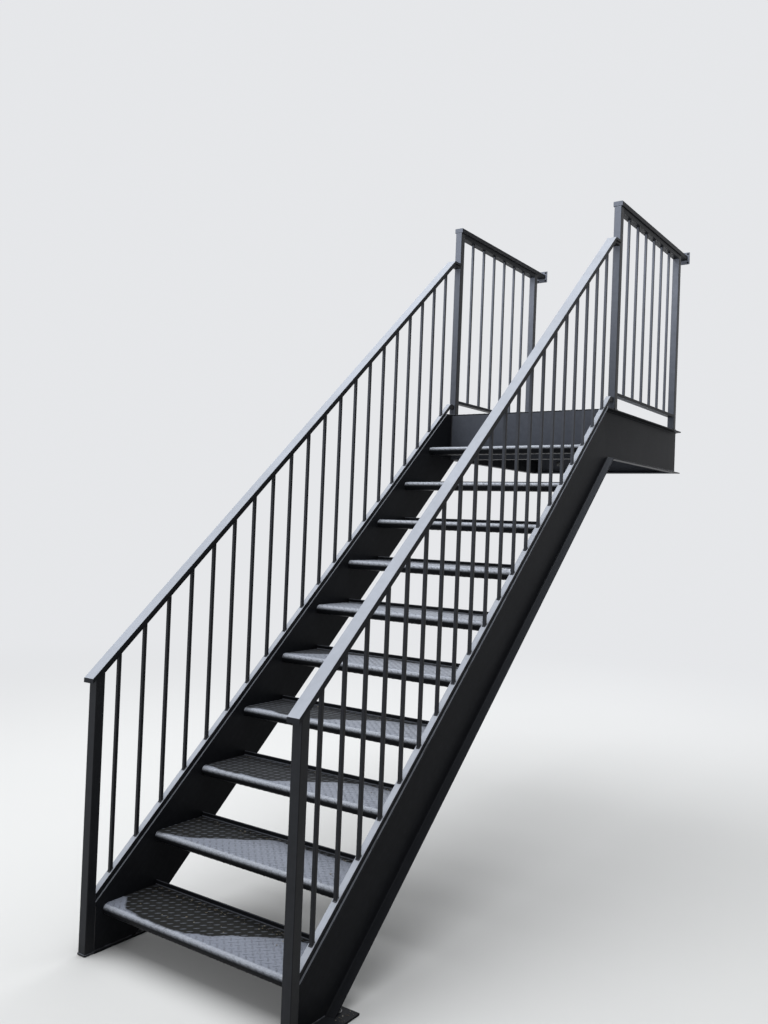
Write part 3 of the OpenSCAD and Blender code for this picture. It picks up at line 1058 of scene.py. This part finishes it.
class STAIR_OT_bolts(bpy.types.Operator):
    """Adds the anchors in the base plates, the ledger's bolts and the rail plates' screws"""

    bl_idname = "stair.bolts"
    bl_label = "Bolts"

    def execute(self, context):
        sizes = context.scene.stair_bolts
        draw = random.Random(5)
        upright = Matrix.Identity(4)
        outward = Matrix.Rotation(math.pi / 2, 4, "X")
        anchors = bmesh.new()
        for side in SIDES:
            top = high(f"base_plate_{side}")
            place = Vector((RAIL_LINE * sign_of(side), top.y - ANCHOR_EDGE, top.z))
            foot = Vector((place.x, place.y, GROUND + 0.001))
            spin = Matrix.Rotation(draw.uniform(0, 1), 4, "Z")
            add_slab(anchors, place, upright, sizes.anchor, ANCHOR_WASHER)
            add_slab(anchors, place + Vector((0, 0, ANCHOR_WASHER[1])), spin, sizes.anchor, ANCHOR_NUT)
            add_thread(anchors, foot, upright, sizes.anchor / 2, ANCHOR_LENGTH)
        piece("base_anchors", anchors, ZINC)
        ledger = bmesh.new()
        for x in (-LEDGER_X, LEDGER_X):
            for z in (-LEDGER_Z, LEDGER_Z):
                spin = outward @ Matrix.Rotation(draw.uniform(0, 1), 4, "Z")
                face = Vector((x, -WEB_THICKNESS, z))
                head = face - Vector((0, LEDGER_WASHER[1], 0))
                add_slab(ledger, face, outward, sizes.ledger, LEDGER_WASHER)
                add_slab(ledger, head, spin, sizes.ledger, LEDGER_HEAD)
                add_slab(ledger, Vector((x, -0.0005, z)), outward, sizes.ledger, LEDGER_ROD)
        piece("ledger_bolts", ledger, ZINC)
        screws = bmesh.new()
        corner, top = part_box("wall_rail_plates")
        reach = (top.z - corner.z) / 2 - SCREW_EDGE
        for side in SIDES:
            for dx in (-reach, reach):
                for dz in (-reach, reach):
                    x = sign_of(side) * RAIL_LINE + dx
                    place = Vector((x, corner.y, (corner.z + top.z) / 2 + dz))
                    add_slab(screws, place, outward, sizes.screw, SCREW_HEAD)
        piece("rail_plate_screws", screws, BEAD)
        return {"FINISHED"}


def crumb(draw, size):
    """One curled crumb of leaf, thin and closed."""
    bm = bmesh.new()
    bmesh.ops.create_grid(bm, x_segments=3, y_segments=2, size=0.5)
    curl = draw.uniform(*CRUMB_CURL)
    skew = draw.uniform(*CRUMB_SKEW)
    width = draw.uniform(*CRUMB_WIDTH)
    for vert in bm.verts:
        x, y = vert.co.x, vert.co.y
        vert.co.z = curl * (x * x + 0.6 * y * y)
        vert.co.y = (y + skew * x) * width * (1.1 - 3.0 * x * x)
    bmesh.ops.scale(bm, vec=[size] * 3, verts=bm.verts)
    bmesh.ops.solidify(bm, geom=bm.faces[:], thickness=CRUMB_THICKNESS)
    bmesh.ops.recalc_face_normals(bm, faces=bm.faces)
    # Solidify adds the rim in no fixed order
    bm.verts.index_update()
    for parts in (bm.edges, bm.faces):
        parts.sort(key=lambda part: sum(1 << vert.index for vert in part.verts))
    return bm


def drop_crumb(bm, draw, place, size):
    """Drops one crumb at a random angle."""
    spin = Matrix.Rotation(draw.uniform(0, 2 * math.pi), 4, "Z")
    tilt = Matrix.Rotation(draw.uniform(-CRUMB_TILT, CRUMB_TILT), 4, "X")
    join(bm, crumb(draw, size), Matrix.Translation(place) @ (spin @ tilt))


class STAIR_OT_litter(bpy.types.Operator):
    """Scatters leaf crumbs behind the treads' lips and on the base plates"""

    bl_idname = "stair.litter"
    bl_label = "Leaf litter"

    def execute(self, context):
        sizes = context.scene.stair_litter
        draw = random.Random(41)
        litter = bmesh.new()
        for number, node in enumerate(TREADS):
            top = high(node)
            rest = top.z - LIP_HEIGHT + context.scene.stair_lugs.height
            share = LITTER_SHARE[min(number, len(LITTER_SHARE) - 1)]
            for _ in range(round(sizes.crumbs * share)):
                heaped = draw.random() < HEAPED_SHARE
                back = abs(draw.gauss(0, HEAP_DEPTH)) if heaped else draw.uniform(0, LITTER_DEPTH)
                x = draw.uniform(-WEB + LITTER_EDGE, WEB - LITTER_EDGE)
                place = Vector((x, top.y - LIP_CORNER - LIP_GAP - back, rest))
                drop_crumb(litter, draw, place, sizes.size * draw.uniform(*LITTER_SIZES))
        piece("tread_litter", litter, LEAF)
        grit = bmesh.new()
        inner = RAIL_LINE + POST / 2 + GRIT_EDGE
        outer = high("base_plate_right").x - GRIT_EDGE
        for side in SIDES:
            corner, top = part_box(f"base_plate_{side}")
            for _ in range(sizes.crumbs // 3):
                x = sign_of(side) * draw.uniform(inner, outer)
                y = draw.uniform(corner.y + GRIT_END, top.y - GRIT_END)
                place = Vector((x, y, top.z + GRIT_LIFT))
                drop_crumb(grit, draw, place, sizes.size * draw.uniform(*GRIT_SIZES))
        piece("base_litter", grit, LEAF)
        return {"FINISHED"}


class STAIR_OT_stage(bpy.types.Operator):
    """Sets the plain floor, the backdrop, the soft light and the camera"""

    bl_idname = "stair.stage"
    bl_label = "Stage"

    def execute(self, context):
        scene = context.scene
        stage = scene.stair_stage
        scene.view_settings.view_transform = "Standard"
        lay_floor(stage)
        light_room(scene, stage)
        hang_light(
            scene, "Overhead light", OVERHEAD_PLACE, OVERHEAD_PLACE - Vector((0, 0, 1)), OVERHEAD_SIZE,
            stage.overhead_power)
        hang_light(scene, "Light from behind", BEHIND_PLACE, BEHIND_AIM, BEHIND_SIZE, stage.behind_power)
        place_camera(scene, stage)
        return {"FINISHED"}


def lay_floor(stage):
    """A wide level floor under the stair's feet."""
    bm = bmesh.new()
    bmesh.ops.create_circle(bm, cap_ends=True, segments=96, radius=FLOOR_REACH)
    bmesh.ops.translate(bm, vec=(0, 0, GROUND), verts=bm.verts)
    for face in bm.faces:
        if face.normal.z < 0:
            face.normal_flip()
    floor = placed("floor", bm)
    floor.data.materials.append(floor_finish(stage))


def floor_finish(stage):
    """Plain pale floor that runs into the backdrop's colour further off."""
    finish = Finish("Plain pale floor")
    cloud = finish.noise(0.7, 3, 0.5)
    colour = finish.mix(stage.floor, [0.96 * channel for channel in stage.floor], cloud)
    near = finish.node(
        "ShaderNodeBsdfPrincipled",
        inputs={"Roughness": 0.85, "Specular IOR Level": 0.2, "Base Color": colour})
    far = finish.node("ShaderNodeEmission", inputs={"Color": opaque(stage.backdrop), "Strength": 1.0})
    along = finish.axis("Y") - FADE_MIDDLE
    away = (finish.axis("X") ** 2.0 + along * along) ** 0.5
    mixed = finish.mix_shaders(near, far, away.between(FADE_START, FADE_END))
    finish.node("ShaderNodeOutputMaterial", inputs={"Surface": mixed})
    return finish.material


def light_room(scene, stage):
    """Even light from all round, with the backdrop's own colour for what looks straight at it."""
    scene.world = bpy.data.worlds.new("Plain room")
    scene.world.use_nodes = True
    maker = NodeMaker(scene.world.node_tree)
    path = maker.node("ShaderNodeLightPath").outputs
    seen = maker.math("MAXIMUM", path["Is Camera Ray"], path["Is Glossy Ray"])
    seen = seen.math("MAXIMUM", path["Is Transmission Ray"])
    room, backdrop = (
        maker.node("ShaderNodeBackground", inputs={"Color": opaque(colour), "Strength": strength})
        for colour, strength in ((LIGHT_COLOUR, stage.sky_strength), (stage.backdrop, 1.0)))
    maker.node("ShaderNodeOutputWorld", inputs={"Surface": maker.mix_shaders(room, backdrop, seen)})


def hang_light(scene, name, place, aim, size, power):
    """A wide square soft light that looks at the aim."""
    data = bpy.data.lights.new(name, "AREA")
    data.size = size
    data.energy = power
    data.color = LIGHT_COLOUR
    lamp = bpy.data.objects.new(name, data)
    turn = (aim - place).to_track_quat("-Z", "Y").to_matrix().to_4x4()
    lamp.matrix_world = Matrix.Translation(place) @ turn
    lamp.visible_camera = False
    scene.collection.objects.link(lamp)


def place_camera(scene, stage):
    """The camera at the photograph's eye point, turned left of the flight and slightly rolled."""
    data = bpy.data.cameras.new("Camera")
    data.sensor_fit = "VERTICAL"
    data.sensor_height = 36.0
    data.lens = stage.focal_length
    data.clip_end = 200.0
    camera = bpy.data.objects.new("Camera", data)
    level = Matrix.Rotation(CAMERA_YAW, 4, "Z") @ Matrix.Rotation(math.pi / 2 + CAMERA_PITCH, 4, "X")
    camera.matrix_world = Matrix.Translation(CAMERA_PLACE) @ level @ Matrix.Rotation(CAMERA_ROLL, 4, "Z")
    scene.collection.objects.link(camera)
    scene.camera = camera


class STAIR_PT_panel(bpy.types.Panel):
    """Lists the stair's pieces in the sidebar"""

    bl_idname = "STAIR_PT_panel"
    bl_label = "Steel Stair"
    bl_space_type = "VIEW_3D"
    bl_region_type = "UI"
    bl_category = "Steel Stair"

    def draw(self, context):
        for name, group in SETTINGS.items():
            box = self.layout.box()
            box.label(text=group.__doc__)
            for field in group.__annotations__:
                box.prop(getattr(context.scene, name), field)
        for operator in OPERATORS:
            self.layout.operator(operator.bl_idname)


OPERATORS = (
    STAIR_OT_stage, STAIR_OT_channels, STAIR_OT_posts, STAIR_OT_rails, STAIR_OT_balusters,
    STAIR_OT_brackets, STAIR_OT_treads, STAIR_OT_deck, STAIR_OT_welds, STAIR_OT_bolts, STAIR_OT_litter)
CLASSES = (*SETTINGS.values(), *OPERATORS, STAIR_PT_panel)


def register():
    for cls in CLASSES:
        bpy.utils.register_class(cls)
    for name, group in SETTINGS.items():
        setattr(bpy.types.Scene, name, PointerProperty(type=group))


def unregister():
    for name in SETTINGS:
        delattr(bpy.types.Scene, name)
    for cls in reversed(CLASSES):
        bpy.utils.unregister_class(cls)


def main():
    """Registers the add-on and makes every piece in order."""
    register()
    for operator in OPERATORS:
        group, name = operator.bl_idname.split(".")
        getattr(getattr(bpy.ops, group), name)()


if __name__ == "__main__":
    main()
